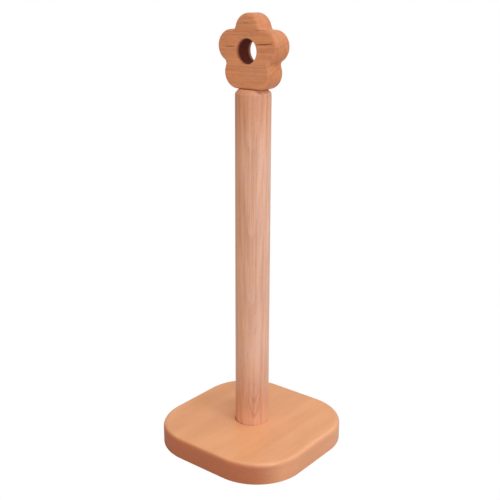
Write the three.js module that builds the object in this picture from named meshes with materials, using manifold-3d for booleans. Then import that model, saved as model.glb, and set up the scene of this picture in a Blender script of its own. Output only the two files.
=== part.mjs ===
// Free-standing wooden paper towel holder: a rounded square base board, a round post bolted to
// it from below, and a five-petal flower finial that unscrews from the top of the post, so that
// a roll with a narrow core can be dropped over the post.
// Millimetres, +Z up. The origin is on the table, under the post; the flower's front faces -Y.

import * as THREE from 'three';
import { mergeVertices } from 'three/addons/utils/BufferGeometryUtils.js';
import Module from 'manifold-3d';

const wasm = await Module();
wasm.setup();

// ---- driving dimensions ----
const FIT_GAP = 0.3;              // clearance between pieces that touch

const PAD_DIAMETER = 16;
const PAD_THICKNESS = 1.5;
const PAD_EDGE = 0.3;
const PAD_OFFSET = 41;            // pad centres, along X and along Y from the post's axis

const BASE_SIDE = 132;
const BASE_CORNER = 43;
const BASE_THICKNESS = 18;
const BASE_TOP_ROUND = 4;
const BASE_LOWER_EASE = 1;
const SOCKET_DEPTH = 6;
const SOCKET_CHAMFER = 0.5;
const COUNTERBORE_DIAMETER = 20;
const COUNTERBORE_DEPTH = 6.5;

const POST_DIAMETER = 28;
const POST_EXPOSED = 279;         // from the board's top to the post's top
const POST_BEVEL_RISE = 3.2;      // height of the bevel at the post's top
const POST_BEVEL_INSET = 2.7;
const POST_BEVEL_SOFT = 1.0;      // how far its two corners are rounded off along each side
const POST_FOOT_CHAMFER = 1;

const PETALS = 5;
const PETAL_CIRCLE = 17.4;        // radius of the circle that the petals' centres lie on
const PETAL_RADIUS = 12.15;
const NOTCH_RADIUS = 3.2;
const FLOWER_THICKNESS = 17;
const FLOWER_EDGE = 3;
const FLOWER_FOOT = 26;           // from the petal circle's centre down to the flat foot
const FINGER_HOLE_DIAMETER = 19.6;
const FINGER_HOLE_RISE = 1.8;     // of the hole's centre above the petal circle's centre

const STUD_DIAMETER = 8;
const STUD_IN_FLOWER = 14;
const STUD_IN_POST = 14.7;
const STUD_CHAMFER = 0.9;
const TOP_INSERT_DIAMETER = 12;
const TOP_INSERT_LENGTH = 15;
const TOP_BORE_DEPTH = 24;

const BOLT_DIAMETER = 6;
const BOLT_LENGTH = 30;
const BOLT_CHAMFER = 0.8;
const BOLT_HEAD_DIAMETER = 11;
const BOLT_HEAD_HEIGHT = 3.3;
const BOLT_HEAD_ROUND = 2;
const HEX_KEY = 4;
const HEX_KEY_DEPTH = 2;
const WASHER_DIAMETER = 18;
const WASHER_THICKNESS = 1.6;
const FOOT_INSERT_DIAMETER = 9.5;
const FOOT_INSERT_LENGTH = 15;
const FOOT_BORE_DEPTH = 26;

const ROUND_STEPS = 32;           // sides of a full circle
const CORNER_STEPS = 10;          // chords in one corner of the board
const PETAL_STEPS = 14;           // chords in one petal
const NOTCH_STEPS = 3;
const EDGE_STEPS = 3;             // chords in a rounded edge
const BEVEL_STEPS = 3;            // chords in a softened corner of the post's bevel

// ---- heights that follow from them ----
const boardBottom = PAD_THICKNESS + FIT_GAP;
const boardTop = boardBottom + BASE_THICKNESS;
const socketFloor = boardTop - SOCKET_DEPTH;
const postBottom = socketFloor + FIT_GAP;
const postTop = boardTop + POST_EXPOSED;
const flowerFoot = postTop + FIT_GAP;
const flowerCentre = flowerFoot + FLOWER_FOOT;
const washerTop = boardBottom + COUNTERBORE_DEPTH - FIT_GAP;
const headTop = washerTop - WASHER_THICKNESS - FIT_GAP;

// ---- materials ----
const beech = (color) => new THREE.MeshStandardMaterial({ color, roughness: 0.5, metalness: 0 });
const materials = {
  board: beech(0xe3a27c),
  post: beech(0xd79d83),
  flower: beech(0xbd7d55),
  steel: new THREE.MeshStandardMaterial({ color: 0xb4b6b9, roughness: 0.35, metalness: 1 }),
  brass: new THREE.MeshStandardMaterial({ color: 0xc79a4b, roughness: 0.35, metalness: 1 }),
  rubber: new THREE.MeshStandardMaterial({ color: 0x2f2c2a, roughness: 0.85, metalness: 0 }),
};

// ---- booleans ----
function toSolid(geometry) {
  const bare = geometry.index ? geometry.toNonIndexed() : geometry.clone();
  for (const name of Object.keys(bare.attributes)) {
    if (name !== 'position') bare.deleteAttribute(name);
  }
  const merged = mergeVertices(bare, 1e-4);
  const vertProperties = new Float32Array(merged.attributes.position.array);
  const triVerts = new Uint32Array(merged.index.array);
  return new wasm.Manifold(new wasm.Mesh({ numProp: 3, vertProperties, triVerts }));
}

function toGeometry(solid) {
  const { vertProperties, triVerts } = solid.getMesh();
  const geometry = new THREE.BufferGeometry();
  geometry.setAttribute('position', new THREE.BufferAttribute(new Float32Array(vertProperties), 3));
  geometry.setIndex(new THREE.BufferAttribute(new Uint32Array(triVerts), 1));
  geometry.computeVertexNormals();
  return geometry;
}

function cut(geometry, ...tools) {
  const solid = tools.reduce((rest, tool) => rest.subtract(toSolid(tool)), toSolid(geometry));
  return toGeometry(solid);
}

// ---- shapes ----
// A solid of revolution about Z, from [radius, height] points that start and end on the axis.
function turned(points, steps = ROUND_STEPS) {
  const profile = points.map(([radius, height]) => new THREE.Vector2(radius, height));
  return new THREE.LatheGeometry(profile, steps).rotateX(Math.PI / 2);
}

function disc(radius, from, to, steps) {
  return turned([[0, from], [radius, from], [radius, to], [0, to]], steps);
}

// Points [inset, rise] of an edge rounded by a quarter ellipse, from the side to the face.
function roundedEdge(inset, rise, steps = EDGE_STEPS) {
  return Array.from({ length: steps + 1 }, (_, step) => {
    const angle = (step / steps) * (Math.PI / 2);
    return [inset * (1 - Math.cos(angle)), rise * Math.sin(angle)];
  });
}

// A closed solid stacked along Z from outlines that all have the same number of points.
function stacked(outline, levels) {
  const rings = levels.map(([inset, height]) =>
    outline(inset).map((point) => new THREE.Vector3(point.x, point.y, height)));
  const around = rings[0].length;
  const ends = [rings[0][0].z, rings[rings.length - 1][0].z];
  const points = [...rings.flat(), ...ends.map((height) => new THREE.Vector3(0, 0, height))];
  const at = (ring, step) => ring * around + (step % around);
  const [lowHub, highHub] = [points.length - 2, points.length - 1];
  const faces = [];
  for (let step = 0; step < around; step += 1) {
    faces.push(lowHub, at(0, step + 1), at(0, step));
    faces.push(highHub, at(rings.length - 1, step), at(rings.length - 1, step + 1));
    for (let ring = 0; ring + 1 < rings.length; ring += 1) {
      faces.push(at(ring, step), at(ring, step + 1), at(ring + 1, step + 1));
      faces.push(at(ring, step), at(ring + 1, step + 1), at(ring + 1, step));
    }
  }
  const geometry = new THREE.BufferGeometry().setFromPoints(points);
  geometry.setIndex(faces);
  return geometry;
}

function arc(centre, radius, from, to, steps) {
  const clockwise = to < from;
  return new THREE.EllipseCurve(centre.x, centre.y, radius, radius, from, to, clockwise)
    .getPoints(steps);
}

// ---- base ----
function boardOutline(inset) {
  const reach = BASE_SIDE / 2 - BASE_CORNER;
  return [[1, 1], [-1, 1], [-1, -1], [1, -1]].flatMap(([x, y], quarter) => {
    const centre = new THREE.Vector2(x * reach, y * reach);
    const from = quarter * (Math.PI / 2);
    return arc(centre, BASE_CORNER - inset, from, from + Math.PI / 2, CORNER_STEPS);
  });
}

function baseBoard() {
  const levels = [
    [BASE_LOWER_EASE, boardBottom],
    [0, boardBottom + BASE_LOWER_EASE],
    ...roundedEdge(BASE_TOP_ROUND, BASE_TOP_ROUND)
      .map(([inset, rise]) => [inset, boardTop - BASE_TOP_ROUND + rise]),
  ];
  const socketRadius = POST_DIAMETER / 2 + FIT_GAP;
  const socket = turned([
    [0, socketFloor],
    [socketRadius, socketFloor],
    [socketRadius, boardTop - SOCKET_CHAMFER],
    [socketRadius + 2 * SOCKET_CHAMFER, boardTop + SOCKET_CHAMFER],
    [0, boardTop + SOCKET_CHAMFER],
  ]);
  const boltHole = disc(BOLT_DIAMETER / 2 + FIT_GAP, boardBottom, boardTop);
  const counterbore = disc(COUNTERBORE_DIAMETER / 2, boardBottom - 1, boardBottom + COUNTERBORE_DEPTH);
  return cut(stacked(boardOutline, levels), socket, boltHole, counterbore);
}

// ---- post ----
// Points of a curve that rounds off a corner, starting and ending at the distance soft from it.
function roundedCorner(before, corner, after, soft) {
  const middle = new THREE.Vector2(...corner);
  const towards = (point) => new THREE.Vector2(...point).sub(middle).setLength(soft).add(middle);
  const curve = new THREE.QuadraticBezierCurve(towards(before), middle, towards(after));
  return curve.getPoints(BEVEL_STEPS).map(({ x, y }) => [x, y]);
}

function post() {
  const radius = POST_DIAMETER / 2;
  const bevelFoot = [radius, postTop - POST_BEVEL_RISE];
  const bevelTop = [radius - POST_BEVEL_INSET, postTop];
  const stick = turned([
    [0, postBottom],
    [radius - POST_FOOT_CHAMFER, postBottom],
    [radius, postBottom + POST_FOOT_CHAMFER],
    ...roundedCorner([radius, postBottom], bevelFoot, bevelTop, POST_BEVEL_SOFT),
    ...roundedCorner(bevelFoot, bevelTop, [0, postTop], POST_BEVEL_SOFT),
    [0, postTop],
  ]);
  const topBore = disc(TOP_INSERT_DIAMETER / 2 + FIT_GAP, postTop - TOP_BORE_DEPTH, postTop + 1);
  const footBore = disc(FOOT_INSERT_DIAMETER / 2 + FIT_GAP, postBottom - 1, postBottom + FOOT_BORE_DEPTH);
  return cut(stick, topBore, footBore);
}

function threadedInsert(outerDiameter, boltDiameter, from, to) {
  const bore = disc(boltDiameter / 2 + FIT_GAP, from - 1, to + 1);
  return cut(disc(outerDiameter / 2, from, to), bore);
}

// ---- flower, drawn upright in XY with its thickness along Z, and stood up on the post ----
function polar(distance, angle) {
  return new THREE.Vector2(distance * Math.cos(angle), distance * Math.sin(angle));
}

// Petals are arcs round centres on one circle, joined by hollow arcs tangent to both neighbours.
// The outline runs anticlockwise from the right end of the flat foot to its left end.
function flowerOutline(inset) {
  const halfStep = Math.PI / PETALS;
  const centresApart = PETAL_RADIUS + NOTCH_RADIUS;
  const notchCircle = PETAL_CIRCLE * Math.cos(halfStep)
    + Math.sqrt(centresApart ** 2 - (PETAL_CIRCLE * Math.sin(halfStep)) ** 2);
  const notchFromPetal = polar(notchCircle, halfStep).sub(polar(PETAL_CIRCLE, 0));
  const petalSweep = notchFromPetal.angle();
  const notchSweep = 2 * (petalSweep - halfStep);
  const petalRadius = PETAL_RADIUS - inset;
  const points = [];
  for (let petal = 0; petal < PETALS; petal += 1) {
    const heading = (2 * petal + 1) * halfStep - Math.PI / 2;
    const centre = polar(PETAL_CIRCLE, heading);
    const meetsFoot = Math.asin((inset - FLOWER_FOOT - centre.y) / petalRadius);
    const from = petal === 0 ? meetsFoot : heading - petalSweep;
    const to = petal === PETALS - 1 ? Math.PI - meetsFoot : heading + petalSweep;
    points.push(...arc(centre, petalRadius, from, to, PETAL_STEPS));
    if (petal < PETALS - 1) {
      const notchCentre = polar(notchCircle, heading + halfStep);
      const start = to + Math.PI;
      const notch = arc(notchCentre, NOTCH_RADIUS + inset, start, start - notchSweep, NOTCH_STEPS);
      points.push(...notch.slice(1, -1));
    }
  }
  return points;
}

function flowerFinial() {
  const half = FLOWER_THICKNESS / 2;
  const edge = roundedEdge(FLOWER_EDGE, FLOWER_EDGE);
  const levels = [
    ...edge.map(([inset, rise]) => [inset, FLOWER_EDGE - half - rise]).reverse(),
    ...edge.map(([inset, rise]) => [inset, half - FLOWER_EDGE + rise]),
  ];
  const fingerHole = disc(FINGER_HOLE_DIAMETER / 2, -FLOWER_THICKNESS, FLOWER_THICKNESS)
    .translate(0, FINGER_HOLE_RISE, 0);
  const studHole = disc(STUD_DIAMETER / 2 + FIT_GAP, -1, STUD_IN_FLOWER + FIT_GAP)
    .rotateX(-Math.PI / 2)
    .translate(0, -FLOWER_FOOT, 0);
  return cut(stacked(flowerOutline, levels), fingerHole, studHole);
}

// ---- metalwork ----
function finialStud() {
  const radius = STUD_DIAMETER / 2;
  const [low, high] = [flowerFoot - STUD_IN_POST, flowerFoot + STUD_IN_FLOWER];
  return turned([
    [0, low],
    [radius - STUD_CHAMFER, low],
    [radius, low + STUD_CHAMFER],
    [radius, high - STUD_CHAMFER],
    [radius - STUD_CHAMFER, high],
    [0, high],
  ]);
}

function baseBolt() {
  const [radius, headRadius] = [BOLT_DIAMETER / 2, BOLT_HEAD_DIAMETER / 2];
  const headBottom = headTop - BOLT_HEAD_HEIGHT;
  const dome = roundedEdge(BOLT_HEAD_ROUND, BOLT_HEAD_ROUND)
    .map(([inset, rise]) => [headRadius - inset, headBottom + BOLT_HEAD_ROUND - rise])
    .reverse();
  const shankTop = headTop + BOLT_LENGTH;
  const bolt = turned([
    [0, headBottom],
    ...dome,
    [headRadius, headTop],
    [radius, headTop],
    [radius, shankTop - BOLT_CHAMFER],
    [radius - BOLT_CHAMFER, shankTop],
    [0, shankTop],
  ]);
  const hexRadius = HEX_KEY / Math.sqrt(3);
  return cut(bolt, disc(hexRadius, headBottom - 1, headBottom + HEX_KEY_DEPTH, 6));
}

function baseWasher() {
  const plate = disc(WASHER_DIAMETER / 2, washerTop - WASHER_THICKNESS, washerTop);
  const hole = disc(BOLT_DIAMETER / 2 + FIT_GAP, washerTop - WASHER_THICKNESS - 1, washerTop + 1);
  return cut(plate, hole);
}

function footPad() {
  const radius = PAD_DIAMETER / 2;
  return turned([
    [0, 0],
    [radius - PAD_EDGE, 0],
    [radius, PAD_EDGE],
    [radius, PAD_THICKNESS],
    [0, PAD_THICKNESS],
  ]);
}

// ---- assembly ----
const holder = new THREE.Group();

function place(name, geometry, material) {
  const mesh = new THREE.Mesh(geometry, material.clone());
  mesh.name = name;
  holder.add(mesh);
  return mesh;
}

place('base_board', baseBoard(), materials.board);
place('post', post(), materials.post);
place('base_bolt', baseBolt(), materials.steel);
place('base_washer', baseWasher(), materials.steel);
place('post_foot_insert', threadedInsert(
  FOOT_INSERT_DIAMETER, BOLT_DIAMETER, postBottom, postBottom + FOOT_INSERT_LENGTH), materials.brass);
place('post_top_insert', threadedInsert(
  TOP_INSERT_DIAMETER, STUD_DIAMETER, postTop - TOP_INSERT_LENGTH, postTop), materials.brass);

const sides = [['front', -1], ['back', 1]];
const hands = [['left', -1], ['right', 1]];
for (const [side, y] of sides) {
  for (const [hand, x] of hands) {
    const pad = place(`foot_pad_${side}_${hand}`, footPad(), materials.rubber);
    pad.position.set(x * PAD_OFFSET, y * PAD_OFFSET, 0);
  }
}

place('finial_stud', finialStud(), materials.steel);
const flower = place('flower_finial', flowerFinial(), materials.flower);
flower.position.z = flowerCentre;
flower.rotation.x = Math.PI / 2;

export default holder;
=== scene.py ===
"""Looks of a paper towel holder: board, post and flower finial in oiled beech, on a white sweep."""

from math import atan2, cos, pi, radians, sin, sqrt

import bmesh
import bpy
import numpy as np
from mathutils import Matrix, Vector


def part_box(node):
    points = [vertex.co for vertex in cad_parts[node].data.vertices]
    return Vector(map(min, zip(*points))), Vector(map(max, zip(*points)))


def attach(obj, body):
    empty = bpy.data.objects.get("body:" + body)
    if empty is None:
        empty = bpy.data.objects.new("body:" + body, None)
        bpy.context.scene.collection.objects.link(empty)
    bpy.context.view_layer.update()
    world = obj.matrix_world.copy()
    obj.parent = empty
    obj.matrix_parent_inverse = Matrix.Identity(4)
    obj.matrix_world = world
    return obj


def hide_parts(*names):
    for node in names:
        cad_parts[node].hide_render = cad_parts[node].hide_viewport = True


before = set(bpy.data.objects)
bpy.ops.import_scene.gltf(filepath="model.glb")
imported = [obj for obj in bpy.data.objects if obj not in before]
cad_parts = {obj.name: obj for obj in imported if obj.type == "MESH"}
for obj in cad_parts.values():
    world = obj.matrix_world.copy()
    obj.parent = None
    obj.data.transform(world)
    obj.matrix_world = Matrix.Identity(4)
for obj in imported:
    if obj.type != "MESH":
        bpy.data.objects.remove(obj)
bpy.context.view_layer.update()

MM = 0.001

# ---- sizes, in metres, from the frame where it has them ----
BOARD_LOW, BOARD_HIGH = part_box("base_board")
POST_LOW, POST_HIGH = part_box("post")
FLOWER_LOW, FLOWER_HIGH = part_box("flower_finial")
STUD_LOW, STUD_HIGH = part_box("finial_stud")
BOLT_LOW, BOLT_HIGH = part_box("base_bolt")
WASHER_LOW, WASHER_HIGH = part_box("base_washer")
TOP_INSERT_LOW, TOP_INSERT_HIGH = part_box("post_top_insert")
FOOT_INSERT_LOW, FOOT_INSERT_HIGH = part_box("post_foot_insert")
FIT = 0.3 * MM                           # gap of the frame between pieces that are pressed together
AXIS_GAP = 0.5 * MM                      # radius of the small flat that closes a turned surface

BOARD_CORNER = 43 * MM
BOARD_TOP_ROUND = (4.2 * MM, 4 * MM)     # inset and rise
BOARD_LOWER_EASE = 1 * MM
BOARD_HOLE_EASE = 0.4 * MM
BOLT_CLEARANCE = 3.3 * MM                # radius of the holes that the bolt passes through
COUNTERBORE = (10 * MM, 6.5 * MM)        # radius and depth
SOCKET_RIM = 0.2 * MM
SOCKET_PLAY = 0.05 * MM
SOCKET_SHIFT = (-0.10 * MM, -0.22 * MM)  # the socket is drilled a little towards the front

POST_RADIUS = POST_HIGH.x
SHOULDER = (2.7 * MM, 3.2 * MM)          # inset and rise of the bevel at the post's top
SHOULDER_SOFT = 1.0 * MM
POST_FOOT_CHAMFER = 1.0 * MM
TOP_BORE_DEPTH = 24 * MM
TOP_BORE_EASE = 0.3 * MM
FOOT_BORE_DEPTH = 26 * MM

PETALS = 5
PETAL_CIRCLE = 17.4 * MM
PETAL_RADIUS = 12.15 * MM
NOTCH_RADIUS = 3.2 * MM
FLOWER_FOOT = 26 * MM
FOOT_EASE = 0.35                         # share of the petals' rounding that the foot has
FOOT_BLEND = (9.5 * MM, 17 * MM)         # half widths between which one turns into the other
FLOWER_EDGE = 3.0 * MM
FLOWER_SETTLE = 0.22 * MM                # the flower is drawn this much lower, for a tight seam
FINGER_HOLE = 9.5 * MM
FINGER_HOLE_RISE = 1.8 * MM
FINGER_HOLE_EASE = 0.2 * MM

M8_PITCH, M6_PITCH = 1.25 * MM, 1.0 * MM
M8_BORE, M6_BORE = 4.3 * MM, 3.3 * MM    # radii inside the inserts' fine threads
WOOD_PITCHES = (2.5 * MM, 2.0 * MM)      # of the coarse threads outside the top and foot insert
STUD_THREAD, STUD_CHAMFER = 0.68 * MM, 0.9 * MM
THREAD_COLUMNS = 48                      # columns of points round a threaded wall
THREAD_ROWS = 10                         # its rows of points in one pitch

CRISP = 32                               # degrees between faces from which an edge is drawn sharp
CRISP_TURNED = 40
CRISP_THREAD = 50

# ---- places of the wood's marks ----
CATHEDRAL_AZIMUTH = 45                   # where the arched figure of the post faces; 0 is -Y
CATHEDRAL_APEX = BOARD_HIGH.z + 9 * MM
FISSURES = (                             # in mm from the petals' middle: start, end and half width
    ((8.2, 6.8), (24.5, 8.0), 0.72),
    ((-20.5, 4.8), (-11.0, 5.3), 0.42),
    ((8.5, 17.1), (18.0, 17.7), 0.28),
    ((-3.5, 22.4), (2.0, 22.3), 0.28),
)


# ---- meshes ----
def arc(centre, radius, start, end, steps):
    """Points of an arc in a plane, both ends among them."""
    angles = np.linspace(start, end, steps + 1)
    return np.array(centre) + radius * np.stack([np.cos(angles), np.sin(angles)], axis=1)


def quarter(inset, rise, steps):
    """[inset, rise] pairs of an edge rounded by a quarter ellipse, from the side to the face."""
    angles = np.linspace(0, pi / 2, steps + 1)
    return [(inset * (1 - cos(a)), rise * sin(a)) for a in angles]


def skin(rings, closed=False):
    """Points and faces of the surface through rings of equal length.

    Its ends are capped, unless it is closed by joining the last ring to the first."""
    rows, around = len(rings), len(rings[0])
    points = [tuple(point) for ring in rings for point in ring]
    faces = []
    for row in range(rows if closed else rows - 1):
        above = (row + 1) % rows
        for step in range(around):
            after = (step + 1) % around
            faces.append((row * around + step, row * around + after,
                          above * around + after, above * around + step))
    if not closed:
        faces.append(tuple(range(around))[::-1])
        faces.append(tuple((rows - 1) * around + step for step in range(around)))
    return points, faces


def polar(distance, angle):
    return distance * np.array([cos(angle), sin(angle)])


def softened(corners, soft, steps=6):
    """A polyline of (radius, height) pairs whose inner corners are rounded off over soft on each side."""
    points = [corners[0]]
    for before, corner, after in zip(corners, corners[1:], corners[2:]):
        before, corner, after = np.array(before), np.array(corner), np.array(after)
        start = corner + (before - corner) * min(0.5, soft / np.linalg.norm(before - corner))
        end = corner + (after - corner) * min(0.5, soft / np.linalg.norm(after - corner))
        for share in np.linspace(0, 1, steps + 1):
            rest = 1 - share
            points.append(tuple(rest ** 2 * start + 2 * share * rest * corner + share ** 2 * end))
    return points + [corners[-1]]


def lathe(profile, around=96):
    """Rings of a solid of revolution about Z, from (radius, height) pairs."""
    angles = np.linspace(0, 2 * pi, around, endpoint=False)
    return [[(radius * cos(a), radius * sin(a), height) for a in angles] for radius, height in profile]


def make_piece(name, surface, material, body, replaced, sharp=CRISP):
    """A piece of the holder from (points, faces), drawn smooth except at its sharp edges."""
    points, faces = surface
    mesh = bpy.data.meshes.new(name)
    mesh.from_pydata(points, [], faces)
    shape = bmesh.new()
    shape.from_mesh(mesh)
    bmesh.ops.remove_doubles(shape, verts=shape.verts, dist=1e-7)
    bmesh.ops.recalc_face_normals(shape, faces=shape.faces)
    shape.to_mesh(mesh)
    shape.free()
    mesh.shade_smooth()
    mesh.set_sharp_from_angle(angle=radians(sharp))
    mesh.materials.append(material)
    piece = bpy.data.objects.new(name, mesh)
    bpy.context.scene.collection.objects.link(piece)
    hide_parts(replaced)
    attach(piece, body)
    return piece


def flat_faces(piece):
    """Lets the large flat faces set the normals, so that only the rounded edges shade round."""
    weighted = piece.modifiers.new("flat_faces", "WEIGHTED_NORMAL")
    weighted.keep_sharp = True
    weighted.weight = 100


def drill(piece, radius, low, high):
    """Cuts a round hole along Z out of a piece's mesh."""
    points, faces = skin(lathe([(radius, low), (radius, high)]))
    mesh = bpy.data.meshes.new("drill")
    mesh.from_pydata(points, [], faces)
    tool = bpy.data.objects.new("drill", mesh)
    bpy.context.scene.collection.objects.link(tool)
    hole = piece.modifiers.new("hole", "BOOLEAN")
    hole.object = tool
    hole.operation = "DIFFERENCE"
    hole.solver = "EXACT"
    bpy.context.view_layer.update()
    evaluated = piece.evaluated_get(bpy.context.evaluated_depsgraph_get())
    cut = bpy.data.meshes.new_from_object(evaluated)
    piece.modifiers.remove(hole)
    piece.data = cut
    bpy.data.objects.remove(tool)
    cut.set_sharp_from_angle(angle=radians(CRISP))


# ---- shader nodes ----
class Shader:
    """A material under construction; its helpers return an output socket, and node a whole node."""

    def __init__(self, name):
        self.material = bpy.data.materials.new(name)
        self.material.use_nodes = True
        self.tree = self.material.node_tree
        self.surface = self.tree.nodes["Principled BSDF"]

    def node(self, kind, inputs=(), **settings):
        made = self.tree.nodes.new("ShaderNode" + kind)
        for key, value in settings.items():
            setattr(made, key, value)
        for key, value in dict(inputs).items():
            self.put(made.inputs[key], value)
        return made

    def put(self, socket, value):
        if isinstance(value, bpy.types.NodeSocket):
            self.tree.links.new(value, socket)
        else:
            socket.default_value = value

    def math(self, operation, *values, clamp=False):
        made = self.node("Math", enumerate(values), operation=operation, use_clamp=clamp)
        return made.outputs[0]

    def vector(self, x, y, z):
        return self.node("CombineXYZ", {"X": x, "Y": y, "Z": z}).outputs[0]

    def stretched(self, place, wide, long):
        """A place whose third length is along the grain, in cells that are wide and long."""
        return self.vector(*[self.math("DIVIDE", length, cell)
                             for length, cell in zip(place, (wide, wide, long))])

    def noise(self, vector, scale=1.0, detail=2.0, roughness=0.5):
        inputs = {"Vector": vector, "Scale": scale, "Detail": detail, "Roughness": roughness}
        return self.node("TexNoise", inputs).outputs["Fac"]

    def smooth(self, value, low, high, to_low=0.0, to_high=1.0):
        inputs = {"Value": value, "From Min": low, "From Max": high, "To Min": to_low, "To Max": to_high}
        return self.node("MapRange", inputs, interpolation_type="SMOOTHSTEP").outputs[0]

    def mix(self, factor, first, second, blend="MIX"):
        made = self.node("Mix", data_type="RGBA", blend_type=blend)
        for index, value in ((0, factor), (6, first), (7, second)):
            self.put(made.inputs[index], value)
        return made.outputs[2]

    def stain(self, factor, base, tint):
        return self.mix(factor, base, tint, blend="MULTIPLY")

    def bump(self, height, distance, strength=1.0):
        inputs = {"Height": height, "Distance": distance, "Strength": strength}
        return self.node("Bump", inputs).outputs[0]


def colour(red, green, blue):
    return (red, green, blue, 1.0)


def shades(tone, *factors):
    return [colour(*[channel * factor for channel, factor in zip(tone, row)]) for row in factors]


# ---- wood; its lengths are in mm ----
def places(s, place, pith, lean, waves):
    """A place in wood with wavy fibres, as (across, over, along) and as (radius, turn, along).

    Radius and turn are about the pith, and both are lengths."""
    across, over, along = place
    ripple = s.noise(s.stretched(place, 5.0, 14.0), detail=1.0)
    over = s.math("ADD", over, s.math("MULTIPLY_ADD", ripple, 2 * waves, -waves))
    across = s.math("ADD", across, s.math("MULTIPLY_ADD", ripple, -2 * waves, waves))
    stick = (across, over, along)
    drift = s.math("MULTIPLY_ADD", s.noise(s.stretched(stick, 26.0, 70.0), detail=1.0), 5.0, -2.5)
    a, b = [s.math("ADD", s.math("SUBTRACT", side, s.math("MULTIPLY_ADD", along, slope, heart)), drift)
            for side, slope, heart in zip((across, over), lean, pith)]
    radius = s.math("SQRT", s.math("MULTIPLY_ADD", a, a, s.math("MULTIPLY", b, b)))
    turn = s.math("MULTIPLY", s.math("ARCTAN2", b, a), sqrt(pith[0] ** 2 + pith[1] ** 2))
    return stick, (radius, turn, along)


def late_wood(s, tree, ring):
    """Rises across each growth ring to the dark line at its end. Some rings are stronger than others."""
    radius, turn, along = tree
    uneven = s.noise(s.vector(s.math("DIVIDE", radius, 7.0), s.math("DIVIDE", turn, 40.0),
                              s.math("DIVIDE", along, 200.0)), detail=1.0)
    count = s.math("ADD", s.math("DIVIDE", radius, ring), s.math("MULTIPLY", uneven, 2.4))
    each = s.node("TexWhiteNoise", {"W": s.math("FLOOR", count)}, noise_dimensions="1D").outputs["Value"]
    phase = s.math("FRACT", count)
    late = s.math("MULTIPLY", s.smooth(phase, 0.15, 0.90), s.smooth(phase, 0.90, 1.0, 1.0, 0.0))
    return s.math("MULTIPLY", late, s.math("MULTIPLY_ADD", each, 0.8, 0.2))


def end_face(s, stick, tree, late, end_tone, end_figure):
    """Colour of the cut ends: open pores, rings and the rays that cross them."""
    light, dark = shades(end_tone, (1.10, 1.14, 1.18), (0.72, 0.60, 0.50))
    across, over, along = stick
    radius, turn, _ = tree
    pores = s.noise(s.vector(s.math("MULTIPLY", across, 2.2), s.math("MULTIPLY", over, 2.2), along),
                    detail=2.0, roughness=0.7)
    rays = s.noise(s.vector(s.math("MULTIPLY", radius, 0.10), s.math("MULTIPLY", turn, 1.3), 0.0),
                   detail=2.0)
    open_pores = s.smooth(pores, 0.30, 0.75, 0.1, 0.45)
    ray_lines = s.smooth(rays, 0.35, 0.70, -0.15 * end_figure, 0.25 * end_figure)
    cut = s.math("ADD", open_pores, s.math("MULTIPLY", late, 0.35 * end_figure))
    cut = s.math("ADD", cut, ray_lines, clamp=True)
    return s.mix(cut, light, dark)


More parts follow.
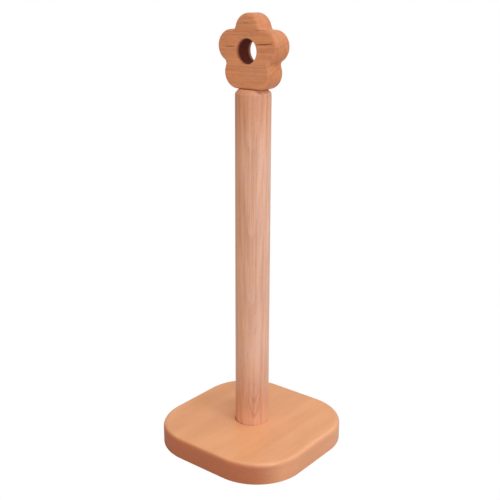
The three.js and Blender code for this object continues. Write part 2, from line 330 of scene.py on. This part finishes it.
def wood(name, grain, pith, lean, tone, end_tone, ring, figure, dashes, flecks, adjust,
         dash_length=14.0, end_figure=1.0, waves=0.3, patch=9.0, hue=0.5):
    """Oiled beech, of which adjust changes the colour and roughness last.

    grain is the axis that the fibres follow, pith where the tree's heart lies across it, and lean how
    far it drifts for each mm along it. tone and end_tone are the mean colours of the long faces and of
    the cut ends. figure, dashes, flecks and end_figure say how strong the marks are, ring, dash_length
    and patch how large, waves how far the fibres ripple, and hue how much the wood varies in warmth."""
    s = Shader(name)
    light, dark, brown = shades(tone, (1.13, 1.19, 1.25), (0.80, 0.69, 0.58), (0.42, 0.30, 0.22))
    coordinates = s.node("TexCoord").outputs
    parts = s.node("SeparateXYZ", {"Vector": coordinates["Object"]}).outputs
    sides = s.node("SeparateXYZ", {"Vector": coordinates["Normal"]}).outputs
    order = {"x": (1, 2, 0), "y": (0, 2, 1), "z": (0, 1, 2)}[grain]
    place = [s.math("MULTIPLY", parts[i], 1 / MM) for i in order]
    stick, tree = places(s, place, pith, lean, waves)

    late = late_wood(s, tree, ring)
    fibre = s.noise(s.stretched(stick, 0.62, 26.0), detail=3.0, roughness=0.62)
    lines = s.noise(s.stretched(stick, 1.7, 210.0), detail=1.5)
    cloud = s.noise(s.stretched(stick, 16.0, 60.0), detail=2.0)
    broad = s.noise(s.stretched(tree, 3.4, 120.0), detail=2.0)
    dash = s.smooth(s.noise(s.stretched(tree, 0.75, dash_length), detail=2.0), 0.60, 0.72)
    cells = {"Vector": s.stretched(tree, 0.7, 3.6), "Scale": 1.0, "Randomness": 1.0}
    fleck = s.smooth(s.node("TexVoronoi", cells).outputs["Distance"], 0.08, 0.30, 1.0, 0.0)

    mark = s.math("MULTIPLY_ADD", late, 0.55 * figure, 0.26 - 0.16 * figure)
    mark = s.math("ADD", mark, s.smooth(fibre, 0.25, 0.80, -0.22 * figure, 0.30 * figure))
    mark = s.math("ADD", mark, s.smooth(broad, 0.30, 0.70, -0.20 * figure, 0.24 * figure))
    mark = s.math("ADD", mark, s.smooth(cloud, 0.25, 0.75, -0.12, 0.16), clamp=True)
    mark = s.math("ADD", mark, s.smooth(lines, 0.30, 0.70, -0.22 * figure, 0.26 * figure), clamp=True)
    base = s.mix(mark, light, dark)
    base = s.mix(s.math("MULTIPLY", dash, dashes), base, brown)
    base = s.mix(s.math("MULTIPLY", fleck, flecks), base, brown)

    end = s.smooth(s.math("ABSOLUTE", sides[order[2]]), 0.35, 0.90)
    base = s.mix(end, base, end_face(s, stick, tree, late, end_tone, end_figure))
    blush = s.smooth(s.noise(s.stretched(stick, patch, 3.5 * patch), detail=2.0), 0.35, 0.65)
    base = s.stain(hue, base, s.mix(blush, colour(1.07, 0.98, 0.80), colour(0.94, 1.00, 1.20)))
    rough = s.math("ADD", s.math("MULTIPLY_ADD", fibre, 0.14, 0.27), s.math("MULTIPLY", end, 0.28))
    base, rough = adjust(s, base, rough, parts)
    s.put(s.surface.inputs["Base Color"], base)
    s.put(s.surface.inputs["Roughness"], rough)
    s.put(s.surface.inputs["IOR"], 1.5)
    pits = s.math("MULTIPLY", s.math("ADD", fleck, dash), -0.3)
    relief = s.math("ADD", s.math("MULTIPLY", fibre, 0.6), pits)
    s.put(s.surface.inputs["Normal"], s.bump(relief, 0.05 * MM, 0.6))
    return s.material


# ---- marks of single pieces, in metres ----
def painted_side_shade(s, base, rough, parts):
    """Painted shade: the board's upright faces are darker than its top."""
    upward = s.node("SeparateXYZ", {"Vector": s.node("TexCoord").outputs["Normal"]}).outputs[2]
    # painted shade on the faces that stand upright
    side = s.smooth(s.math("ABSOLUTE", upward), 0.2, 0.9, 1.0, 0.0)
    return s.stain(side, base, colour(0.87, 0.83, 0.83)), rough


def cathedral(s, parts):
    """Nested arches of late wood, upside down, where the rings graze the front of the post's foot."""
    facing = radians(CATHEDRAL_AZIMUTH)
    steepness, pitch = 0.75 / MM, 14 * MM
    beside = s.math("MULTIPLY_ADD", parts[0], cos(facing), s.math("MULTIPLY", parts[1], sin(facing)))
    forward = s.math("MULTIPLY_ADD", parts[0], sin(facing), s.math("MULTIPLY", parts[1], -cos(facing)))
    above = s.math("SUBTRACT", parts[2], CATHEDRAL_APEX)
    along = s.math("DIVIDE", parts[2], 22 * MM)
    sway = s.math("MULTIPLY_ADD", s.noise(s.vector(0.0, 0.0, along)), 2 * MM, -1 * MM)
    aside = s.math("ABSOLUTE", s.math("ADD", beside, sway))
    opened = s.math("MULTIPLY", s.math("MULTIPLY", aside, aside), steepness)
    rings = s.math("DIVIDE", s.math("SUBTRACT", above, opened), pitch)
    line = s.smooth(s.math("PINGPONG", rings, 0.5), 0.0, 0.26, 1.0, 0.0)
    inside = s.smooth(rings, -1.4, -0.4)
    low = s.smooth(above, 14 * MM, 40 * MM, 1.0, 0.0)
    front = s.smooth(forward, 0.5 * POST_RADIUS, 0.85 * POST_RADIUS)
    near = s.smooth(aside, 5 * MM, 8 * MM, 1.0, 0.0)
    for limit in (inside, low, front, near):
        line = s.math("MULTIPLY", line, limit)
    return line


def post_tone_and_painted_light(s, base, rough, parts):
    """The post is a deeper orange near its ends, and carries painted shade and sheen on its sides.

    Painted shade darkens its side towards -X and -Y, a painted cool sheen lightens the other side, and
    painted light makes its foot paler against the board's shade. The foot has the arched figure."""
    low = s.smooth(parts[2], POST_LOW.z + 20 * MM, POST_LOW.z + 75 * MM, 1.0, 0.0)
    high = s.smooth(parts[2], POST_HIGH.z - 55 * MM, POST_HIGH.z - 12 * MM, 0.0, 1.0)
    # painted light: the foot is made paler just above the board, against the shade the board casts there
    foot = s.smooth(parts[2], BOARD_HIGH.z + 2 * MM, BOARD_HIGH.z + 22 * MM, 1.0, 0.0)
    # painted shade on the post's side towards -X and -Y, and a painted cool sheen on the opposite side
    heart = s.math("MULTIPLY_ADD", parts[0], -0.78, s.math("MULTIPLY", parts[1], -0.62))
    heart = s.smooth(heart, -0.6 * POST_RADIUS, 0.9 * POST_RADIUS)
    base = s.stain(low, base, colour(0.94, 0.82, 0.73))
    base = s.stain(high, base, colour(0.93, 0.80, 0.69))
    base = s.stain(1.0, base, s.mix(heart, colour(1.00, 1.04, 1.08), colour(0.93, 0.87, 0.80)))
    base = s.stain(foot, base, colour(1.17, 1.23, 1.23))
    return s.stain(cathedral(s, parts), base, colour(0.88, 0.79, 0.72)), rough


def painted_hole_shade(s, base, rough, parts):
    """Painted shade darkens the wall of the finger hole, most of all in the middle of its depth."""
    over = s.math("SUBTRACT", parts[2], FLOWER_LOW.z + FLOWER_FOOT + FINGER_HOLE_RISE)
    reach = s.math("SQRT", s.math("MULTIPLY_ADD", over, over, s.math("MULTIPLY", parts[0], parts[0])))
    wall = s.smooth(reach, FINGER_HOLE + 0.1 * MM, FINGER_HOLE + 0.8 * MM, 1.0, 0.0)
    face = FLOWER_HIGH.y
    depth = s.smooth(s.math("ABSOLUTE", parts[1]), face - 4.0 * MM, face - 0.3 * MM, 1.0, 0.12)
    # painted shade inside the finger hole; the wall is also made rougher
    hole_shade = s.math("MULTIPLY", wall, depth)
    return s.stain(hole_shade, base, colour(0.20, 0.055, 0.012)), s.math("MULTIPLY_ADD", hole_shade, 0.55, rough)


def fissures(s, base, parts):
    """Short dark checks along the grain in the flower's front face."""
    x = s.math("MULTIPLY", parts[0], 1 / MM)
    z = s.math("MULTIPLY", s.math("SUBTRACT", parts[2], FLOWER_LOW.z + FLOWER_FOOT), 1 / MM)
    wobble = s.math("ADD", s.noise(s.vector(s.math("MULTIPLY", x, 0.2), 0.0, 0.0)), -0.5)
    near_front = s.smooth(parts[1], FLOWER_LOW.y, FLOWER_LOW.y + 4 * MM, 1.0, 0.0)
    for (start, start_height), (end, end_height), half_width in FISSURES:
        share = s.node("MapRange", {"Value": x, "From Min": start, "From Max": end}).outputs[0]
        line = s.math("MULTIPLY_ADD", share, end_height - start_height, start_height)
        away = s.math("ABSOLUTE", s.math("ADD", s.math("SUBTRACT", z, line), wobble))
        swell = s.math("MULTIPLY", s.math("MULTIPLY", share, s.math("SUBTRACT", 1.0, share)), 4.0)
        width = s.math("MAXIMUM", s.math("MULTIPLY", s.math("SQRT", swell), half_width), 0.001)
        check = s.smooth(s.math("DIVIDE", away, width), 0.3, 1.0, 0.85, 0.0)
        base = s.mix(s.math("MULTIPLY", check, near_front), base, colour(0.13, 0.035, 0.012))
    return base


def flower_checks_and_hole_shade(s, base, rough, parts):
    return painted_hole_shade(s, fissures(s, base, parts), rough, parts)


# ---- metal and rubber ----
def metal(name, base, roughness, brushed=0.08):
    """Plated or turned metal with fine turning marks and faint stains."""
    s = Shader(name)
    place = s.node("TexCoord").outputs["Object"]
    height = s.node("SeparateXYZ", {"Vector": place}).outputs[2]
    marks = s.noise(s.vector(0.0, 0.0, s.math("MULTIPLY", height, 9.0 / MM)), detail=3.0)
    stains = s.noise(place, scale=0.12 / MM, detail=2.0)
    clean, dull = shades(base, (1, 1, 1), (0.86, 0.86, 0.86))
    rough = s.math("ADD", s.math("MULTIPLY_ADD", marks, brushed, roughness),
                   s.math("MULTIPLY", stains, 0.1))
    s.put(s.surface.inputs["Base Color"], s.mix(s.smooth(stains, 0.3, 0.8), clean, dull))
    s.put(s.surface.inputs["Metallic"], 1.0)
    s.put(s.surface.inputs["Roughness"], rough)
    s.put(s.surface.inputs["Normal"], s.bump(marks, 0.02 * MM, 0.3))
    return s.material


def rubber(name):
    """Dark soft foam rubber with a fine pitted skin."""
    s = Shader(name)
    place = s.node("TexCoord").outputs["Object"]
    pits = s.noise(place, scale=3.2 / MM, detail=2.0, roughness=0.6)
    wear = s.noise(place, scale=0.25 / MM, detail=3.0)
    fresh, worn = colour(0.022, 0.020, 0.018), colour(0.050, 0.046, 0.042)
    s.put(s.surface.inputs["Base Color"], s.mix(s.smooth(wear, 0.35, 0.75), fresh, worn))
    s.put(s.surface.inputs["Roughness"], s.math("MULTIPLY_ADD", pits, 0.2, 0.72))
    s.put(s.surface.inputs["Normal"], s.bump(pits, 0.06 * MM, 0.5))
    return s.material


# ---- board ----
def board_outline(inset):
    """The board's rounded square, moved in by inset, with points along its straight sides too."""
    reach = BOARD_HIGH.x - BOARD_CORNER
    flat = np.linspace(0, 1, 14)[1:-1]
    points = []
    for turn, (x, y) in enumerate(((1, 1), (-1, 1), (-1, -1), (1, -1))):
        start = turn * pi / 2
        corner = arc((x * reach, y * reach), BOARD_CORNER - inset, start, start + pi / 2, 32)
        points.extend(corner)
        points.extend(corner[-1] + 2 * reach * share * polar(1, start + pi) for share in flat)
    return np.array(points)


def board():
    """From the bolt's hole up the socket, over the top, down the side and back into the counterbore."""
    headings = [atan2(y, x) for x, y in board_outline(0)]

    def level(outline, height):
        return [(x, y, height) for x, y in outline]

    def circle(radius, height, centre=(0, 0)):
        return [(centre[0] + radius * cos(a), centre[1] + radius * sin(a), height) for a in headings]

    low, top = BOARD_LOW.z, BOARD_HIGH.z
    socket, socket_floor = POST_RADIUS + SOCKET_PLAY, POST_LOW.z - FIT
    counter_radius, counter_depth = COUNTERBORE
    ceiling = low + counter_depth
    rings = [circle(BOLT_CLEARANCE, ceiling), circle(BOLT_CLEARANCE, socket_floor)]
    for radius, height in ((socket, socket_floor), (socket, top - SOCKET_RIM), (socket + SOCKET_RIM, top),
                           (socket + SOCKET_RIM + BOARD_HOLE_EASE, top)):
        rings.append(circle(radius, height, SOCKET_SHIFT))
    for inset, rise in quarter(*BOARD_TOP_ROUND, 12)[::-1]:
        rings.append(level(board_outline(inset), top - BOARD_TOP_ROUND[1] + rise))
    for inset, rise in quarter(BOARD_LOWER_EASE, BOARD_LOWER_EASE, 4):
        rings.append(level(board_outline(inset), low + BOARD_LOWER_EASE - rise))
    rings.append(circle(counter_radius + BOARD_HOLE_EASE, low))
    rings.append(circle(counter_radius, low + BOARD_HOLE_EASE))
    rings.append(circle(counter_radius, ceiling))
    return skin(rings, closed=True)


# ---- post ----
def post():
    """From the end of the foot's bore, round the outside and to the end of the top's bore."""
    low, top = POST_LOW.z, POST_HIGH.z
    foot_bore, top_bore = FOOT_INSERT_HIGH.x + FIT, TOP_INSERT_HIGH.x + FIT
    inset, rise = SHOULDER
    chamfer = POST_FOOT_CHAMFER
    shaft = np.linspace(low + 2 * chamfer, top - rise - 2 * chamfer, 24)
    shoulder = [(POST_RADIUS, shaft[-1]), (POST_RADIUS, top - rise), (POST_RADIUS - inset, top),
                (top_bore + TOP_BORE_EASE, top)]
    profile = [(AXIS_GAP, low + FOOT_BORE_DEPTH), (foot_bore, low + FOOT_BORE_DEPTH), (foot_bore, low),
               (POST_RADIUS - chamfer, low), (POST_RADIUS, low + chamfer)]
    profile += [(POST_RADIUS, height) for height in shaft]
    profile += softened(shoulder, SHOULDER_SOFT)
    profile += [(top_bore, top - TOP_BORE_EASE), (top_bore, top - TOP_BORE_DEPTH),
                (AXIS_GAP, top - TOP_BORE_DEPTH)]
    return skin(lathe(profile))


# ---- flower ----
def flower_outline(inset):
    """The flower's outline about its petal circle's centre, with every edge moved in by inset.

    The foot is eased less than the petals."""
    foot_depth = FLOWER_FOOT + FLOWER_SETTLE
    half_step = pi / PETALS
    apart = PETAL_RADIUS + NOTCH_RADIUS
    notch_circle = PETAL_CIRCLE * cos(half_step) + sqrt(apart ** 2 - (PETAL_CIRCLE * sin(half_step)) ** 2)
    across, over = polar(notch_circle, half_step) - polar(PETAL_CIRCLE, 0)
    petal_sweep = atan2(over, across)
    notch_sweep = 2 * (petal_sweep - half_step)

    def meets_foot(centre):
        return np.arcsin((inset - foot_depth - centre[1]) / (PETAL_RADIUS - inset))

    points = []
    for petal in range(PETALS):
        heading = (2 * petal + 1) * half_step - pi / 2
        centre = polar(PETAL_CIRCLE, heading)
        start = meets_foot(centre) if petal == 0 else heading - petal_sweep
        end = pi - meets_foot(centre) if petal == PETALS - 1 else heading + petal_sweep
        points.extend(arc(centre, PETAL_RADIUS - inset, start, end, 36))
        if petal < PETALS - 1:
            notch = polar(notch_circle, heading + half_step)
            points.extend(arc(notch, NOTCH_RADIUS + inset, end + pi, end + pi - notch_sweep, 12)[1:-1])
    foot = np.linspace(0, 1, 20)[1:-1, None]
    points.extend(points[-1] + foot * (points[0] - points[-1]))
    points = np.array(points)
    inner, outer = FOOT_BLEND
    nearness = np.clip((outer - abs(points[:, 0])) / (outer - inner), 0, 1)
    nearness *= points[:, 1] < -0.5 * FLOWER_FOOT
    points[:, 1] -= (1 - FOOT_EASE) * inset * nearness ** 2 * (3 - 2 * nearness)
    return points


def flower():
    """From the front face over the petals' edge to the back face, and back through the finger hole."""
    middle = FLOWER_LOW.z + FLOWER_FOOT
    half = FLOWER_HIGH.y
    hole_centre = np.array([0, FINGER_HOLE_RISE])
    rays = flower_outline(0) - hole_centre
    headings = np.arctan2(rays[:, 1], rays[:, 0])

    def level(outline, y):
        return [(x, y, middle + z) for x, z in outline]

    def hole(radius, y):
        return level([hole_centre + polar(radius, a) for a in headings], y)

    edge = quarter(FLOWER_EDGE, FLOWER_EDGE, 8)
    ease = quarter(FINGER_HOLE_EASE, FINGER_HOLE_EASE, 4)
    rim = FINGER_HOLE + FINGER_HOLE_EASE
    rings = [level(flower_outline(inset), FLOWER_EDGE - half - rise) for inset, rise in edge[::-1]]
    rings += [level(flower_outline(inset), half - FLOWER_EDGE + rise) for inset, rise in edge]
    rings += [hole(rim - rise, half - inset) for inset, rise in ease]
    rings += [hole(rim - rise, inset - half) for inset, rise in ease[::-1]]
    return skin(rings, closed=True)


# ---- metalwork ----
def thread_surface(low, high, pitch, radius_at, base=0):
    """Points and faces of a threaded wall, with the indices of its lowest and highest ring.

    Its rows climb one pitch in each turn, and are cut off at low and high. base is the first index."""
    tall = int((high - low) / pitch * THREAD_ROWS) + 2 * THREAD_ROWS + 1
    points, faces = [], []
    for step in range(THREAD_COLUMNS):
        angle = 2 * pi * step / THREAD_COLUMNS
        for row in range(tall):
            height = low - pitch + (row / THREAD_ROWS + step / THREAD_COLUMNS) * pitch
            z = min(max(height, low), high)
            radius = radius_at(z, (z / pitch - step / THREAD_COLUMNS) % 1.0)
            points.append((radius * cos(angle), radius * sin(angle), z))
        after = (step + 1) % THREAD_COLUMNS
        shift = THREAD_ROWS if after == 0 else 0
        here, there = base + step * tall, base + after * tall + shift
        for row in range(tall - 1 - shift):
            faces.append((here + row, there + row, there + row + 1, here + row + 1))
    bottom = [base + step * tall for step in range(THREAD_COLUMNS)]
    top = [first + tall - 1 for first in bottom]
    return points, faces, bottom, top


def ridge(share):
    """Height of a thread's flank, from 0 in the groove to 1 on the crest, over one pitch."""
    rise = 1 - abs(2 * share - 1)
    return min(max(1.3 * rise - 0.15, 0), 1)


def threaded_rod(radius, depth, low, high, pitch, chamfer):
    """A rod with an outside thread, chamfered at its ends."""
    def radius_at(z, share):
        limit = radius - max(0, chamfer - (z - low), chamfer - (high - z))
        return min(limit, radius - depth * (1 - ridge(share)))

    points, faces, bottom, top = thread_surface(low, high, pitch, radius_at)
    return points, faces + [tuple(bottom[::-1]), tuple(top)]


def threaded_bush(outer, bore, low, high, outer_pitch, bore_pitch):
    """A brass insert: a coarse thread outside, a fine one in its flared bore, and flat ends."""
    lip, outer_depth, bore_depth, bore_flare = 1.2 * MM, 0.7 * MM, 0.55 * MM, 0.5 * MM

    def outside(z, share):
        if min(z - low, high - z) < lip:
            return outer
        return outer - outer_depth * (1 - ridge(share))

    def inside(z, share):
        flare = bore_flare - min(high - z, z - low)
        if flare > 0:
            return bore + flare
        return bore + bore_depth * (1 - ridge(share))

    points, faces, bottom, top = thread_surface(low, high, outer_pitch, outside)
    more, bore_faces, bore_bottom, bore_top = thread_surface(low, high, bore_pitch, inside, len(points))
    faces += bore_faces
    for step in range(THREAD_COLUMNS):
        after = (step + 1) % THREAD_COLUMNS
        faces.append((bottom[step], bottom[after], bore_bottom[after], bore_bottom[step]))
        faces.append((top[step], top[after], bore_top[after], bore_top[step]))
    return points + more, faces


def bolt():
    """A button-head bolt, head down, with a hexagon socket and a ringed shank."""
    head_radius, shank_radius, around = BOLT_HIGH.x, 3.0 * MM, 48
    low, shoulder, tip = BOLT_LOW.z, BOLT_LOW.z + 3.3 * MM, BOLT_HIGH.z
    key, key_depth, key_ease, key_floor = 2.31 * MM, 2.0 * MM, 0.2 * MM, 0.3 * MM
    dome, head_ease, axis_gap = 2 * MM, 0.3 * MM, 0.3 * MM
    thread_start, thread_end, tip_chamfer = 3 * MM, 0.9 * MM, 0.8 * MM
    row, groove, flank = 0.25 * MM, 0.35 * MM, 0.18 * MM
    angles = [2 * pi * step / around for step in range(around)]

    def hexagon(radius, height):
        reach = [radius * cos(pi / 6) / cos((a % (pi / 3)) - pi / 6) for a in angles]
        return [(r * cos(a), r * sin(a), height) for r, a in zip(reach, angles)]

    socket = [hexagon(axis_gap, low + key_depth + key_floor), hexagon(0.97 * key, low + key_depth),
              hexagon(key, low + key_ease), hexagon(key + key_ease, low)]
    body = [(head_radius - inset, low + dome - rise) for inset, rise in quarter(dome, dome, 8)[::-1]]
    body += [(head_radius, shoulder - head_ease), (head_radius - head_ease, shoulder),
             (shank_radius, shoulder)]
    for step, z in enumerate(np.arange(shoulder + thread_start, tip - thread_end, row)):
        body.append((shank_radius - groove * (step % 4 == 2) - flank * (step % 2 == 1), z))
    body += [(shank_radius - tip_chamfer, tip), (axis_gap, tip)]
    return skin(socket + lathe(body, around))


def washer():
    outer, inner, ease = WASHER_HIGH.x, BOLT_CLEARANCE, 0.2 * MM
    low, high = WASHER_LOW.z, WASHER_HIGH.z
    profile = [(inner, low + ease), (inner + ease, low), (outer - ease, low), (outer, low + ease),
               (outer, high - ease), (outer - ease, high), (inner + ease, high), (inner, high - ease)]
    return skin(lathe(profile), closed=True)


def pad(centre, radius, height):
    """A round anti-slip pad that stands on the ground."""
    edge = 0.3 * MM
    profile = [(AXIS_GAP, 0)]
    profile += [(radius - inset, edge - rise) for inset, rise in quarter(edge, edge, 4)[::-1]]
    profile += [(radius, height), (AXIS_GAP, height)]
    rings = lathe(profile, 64)
    return skin([[(x + centre.x, y + centre.y, z) for x, y, z in ring] for ring in rings])


# ---- materials ----
# The board's adjust paints shade on its upright faces.
beech_board = wood("beech_board", "y", pith=(-12, -140), lean=(0.010, 0.006), ring=3.1,
                   tone=(0.800, 0.383, 0.173), end_tone=(0.555, 0.181, 0.068),
                   figure=0.10, dashes=0.04, flecks=0.10, end_figure=0.35,
                   patch=22.0, hue=0.12, adjust=painted_side_shade)
# The post's adjust paints shade and light on it, and its end_tone is lighter than its long grain: painted
# light on the upward-facing bevel at its top.
beech_post = wood("beech_post", "z", pith=(-37, 47), lean=(-0.022, 0.027), ring=2.3,
                  tone=(0.718, 0.399, 0.247), end_tone=(0.80, 0.45, 0.27),
                  figure=0.70, dashes=0.22, flecks=0.22,
                  patch=6.0, hue=0.2, adjust=post_tone_and_painted_light)
# The flower's adjust paints shade in its finger hole.
beech_flower = wood("beech_flower", "x", pith=(150, -70), lean=(0.03, 0.05), ring=2.4,
                    tone=(0.652, 0.254, 0.100), end_tone=(0.62, 0.240, 0.086),
                    figure=0.7, dashes=0.36, dash_length=6.0, flecks=0.3, waves=0.8,
                    patch=5.0, hue=0.5, adjust=flower_checks_and_hole_shade)
zinc = metal("zinc_plate", (0.62, 0.63, 0.65), 0.26)
brass = metal("turned_brass", (0.72, 0.50, 0.22), 0.24)
foam = rubber("foam_rubber")

# ---- pieces ----
flat_faces(make_piece("board", board(), beech_board, "stand", "base_board"))
make_piece("post_stick", post(), beech_post, "stand", "post")
blossom = make_piece("flower", flower(), beech_flower, "finial", "flower_finial")
drill(blossom, STUD_HIGH.x + 0.05 * MM, FLOWER_LOW.z - 1 * MM, STUD_HIGH.z + FIT)
flat_faces(blossom)

stud = threaded_rod(STUD_HIGH.x, STUD_THREAD, STUD_LOW.z, STUD_HIGH.z, M8_PITCH, STUD_CHAMFER)
make_piece("stud", stud, zinc, "stud", "finial_stud", sharp=CRISP_THREAD)
top_insert = threaded_bush(TOP_INSERT_HIGH.x, M8_BORE, TOP_INSERT_LOW.z, TOP_INSERT_HIGH.z,
                           WOOD_PITCHES[0], M8_PITCH)
make_piece("top_insert", top_insert, brass, "stand", "post_top_insert", sharp=CRISP_THREAD)
foot_insert = threaded_bush(FOOT_INSERT_HIGH.x, M6_BORE, FOOT_INSERT_LOW.z, FOOT_INSERT_HIGH.z,
                            WOOD_PITCHES[1], M6_PITCH)
make_piece("foot_insert", foot_insert, brass, "stand", "post_foot_insert", sharp=CRISP_THREAD)
make_piece("bolt", bolt(), zinc, "stand", "base_bolt", sharp=CRISP_TURNED)
make_piece("washer", washer(), zinc, "stand", "base_washer")
for node in sorted(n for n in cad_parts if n.startswith("foot_pad_")):
    low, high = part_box(node)
    make_piece(node.replace("foot_pad", "pad"), pad((low + high) / 2, (high.x - low.x) / 2, high.z),
               foam, "stand", node)

# ---- stage ----
FLOOR_REACH = 6

floor_corners = [(x * FLOOR_REACH, y * FLOOR_REACH, 0) for x, y in ((-1, -1), (1, -1), (1, 1), (-1, 1))]
floor_mesh = bpy.data.meshes.new("floor")
floor_mesh.from_pydata(floor_corners, [], [(0, 1, 2, 3)])
floor = bpy.data.objects.new("floor", floor_mesh)
bpy.context.scene.collection.objects.link(floor)
sweep = Shader("white_sweep")
sweep.tree.nodes.remove(sweep.surface)
seen = sweep.node("LightPath").outputs["Is Camera Ray"]
lit = sweep.node("BsdfDiffuse", {"Color": colour(0.74, 0.71, 0.69)}).outputs[0]
glow = sweep.node("Emission", {"Color": colour(1, 1, 1), "Strength": 1.0}).outputs[0]
blend = sweep.node("MixShader", {0: seen, 1: lit, 2: glow}).outputs[0]
sweep.put(sweep.tree.nodes["Material Output"].inputs["Surface"], blend)
floor_mesh.materials.append(sweep.material)

# ---- light ----
world = bpy.data.worlds.new("studio")
bpy.context.scene.world = world
world.use_nodes = True
nodes, links = world.node_tree.nodes, world.node_tree.links
path = nodes.new("ShaderNodeLightPath")
room = nodes["Background"]
room.inputs["Color"].default_value = colour(1.0, 0.89, 0.81)
room.inputs["Strength"].default_value = 0.60
backdrop = nodes.new("ShaderNodeBackground")
backdrop.inputs["Color"].default_value = colour(1, 1, 1)
chosen = nodes.new("ShaderNodeMixShader")
links.new(path.outputs["Is Camera Ray"], chosen.inputs[0])
links.new(room.outputs[0], chosen.inputs[1])
links.new(backdrop.outputs[0], chosen.inputs[2])
links.new(chosen.outputs[0], nodes["World Output"].inputs["Surface"])

LIGHT_AIM = Vector((0, 0, 0.17))
LIGHT_DISTANCE = 1.5


def softbox(name, azimuth, elevation, size, power, tint):
    """A square area light aimed at the holder's middle. Azimuth 0 is in front, at -Y, and 90 at +X."""
    heading, lift = radians(azimuth), radians(elevation)
    way = Vector((sin(heading) * cos(lift), -cos(heading) * cos(lift), sin(lift)))
    lamp = bpy.data.lights.new(name, "AREA")
    lamp.size = size
    lamp.energy = power
    lamp.color = tint
    holder = bpy.data.objects.new(name, lamp)
    holder.location = LIGHT_AIM + way * LIGHT_DISTANCE
    holder.rotation_euler = way.to_track_quat("Z", "Y").to_euler()
    bpy.context.scene.collection.objects.link(holder)


softbox("key_high", azimuth=86, elevation=48, size=0.35, power=4.7, tint=(0.72, 0.76, 1.0))
softbox("key_low", azimuth=46, elevation=18, size=0.7, power=6.0, tint=(0.66, 0.73, 0.98))
softbox("top", azimuth=70, elevation=68, size=0.9, power=4.0, tint=(1.0, 0.98, 0.95))
softbox("back", azimuth=145, elevation=34, size=1.1, power=4.5, tint=(0.74, 0.85, 1.0))

# ---- camera ----
CAMERA_AZIMUTH = 38.49
CAMERA_DISTANCE = 0.6394
CAMERA_HEIGHT = 0.3689
CAMERA_YAW = 0.19
CAMERA_PITCH = 17.24
CAMERA_ROLL = 0.17
CAMERA_LENS = 59.8
CAMERA_SENSOR = 36

azimuth = radians(CAMERA_AZIMUTH)
heading = radians(CAMERA_AZIMUTH + CAMERA_YAW)
pitch, roll = radians(CAMERA_PITCH), radians(CAMERA_ROLL)
ahead = Vector((-sin(heading) * cos(pitch), cos(heading) * cos(pitch), -sin(pitch)))
right = ahead.cross(Vector((0, 0, 1))).normalized()
up = right.cross(ahead)
tilted_right = right * cos(roll) + up * sin(roll)
tilted_up = up * cos(roll) - right * sin(roll)
camera_data = bpy.data.cameras.new("camera")
camera_data.lens = CAMERA_LENS
camera_data.sensor_width = CAMERA_SENSOR
camera = bpy.data.objects.new("camera", camera_data)
turn = Matrix((tilted_right, tilted_up, -ahead)).transposed().to_4x4()
place = Vector((sin(azimuth) * CAMERA_DISTANCE, -cos(azimuth) * CAMERA_DISTANCE, CAMERA_HEIGHT))
camera.matrix_world = Matrix.Translation(place) @ turn
bpy.context.scene.collection.objects.link(camera)
bpy.context.scene.camera = camera

view = bpy.context.scene.view_settings
view.view_transform = "Standard"
view.look = "None"
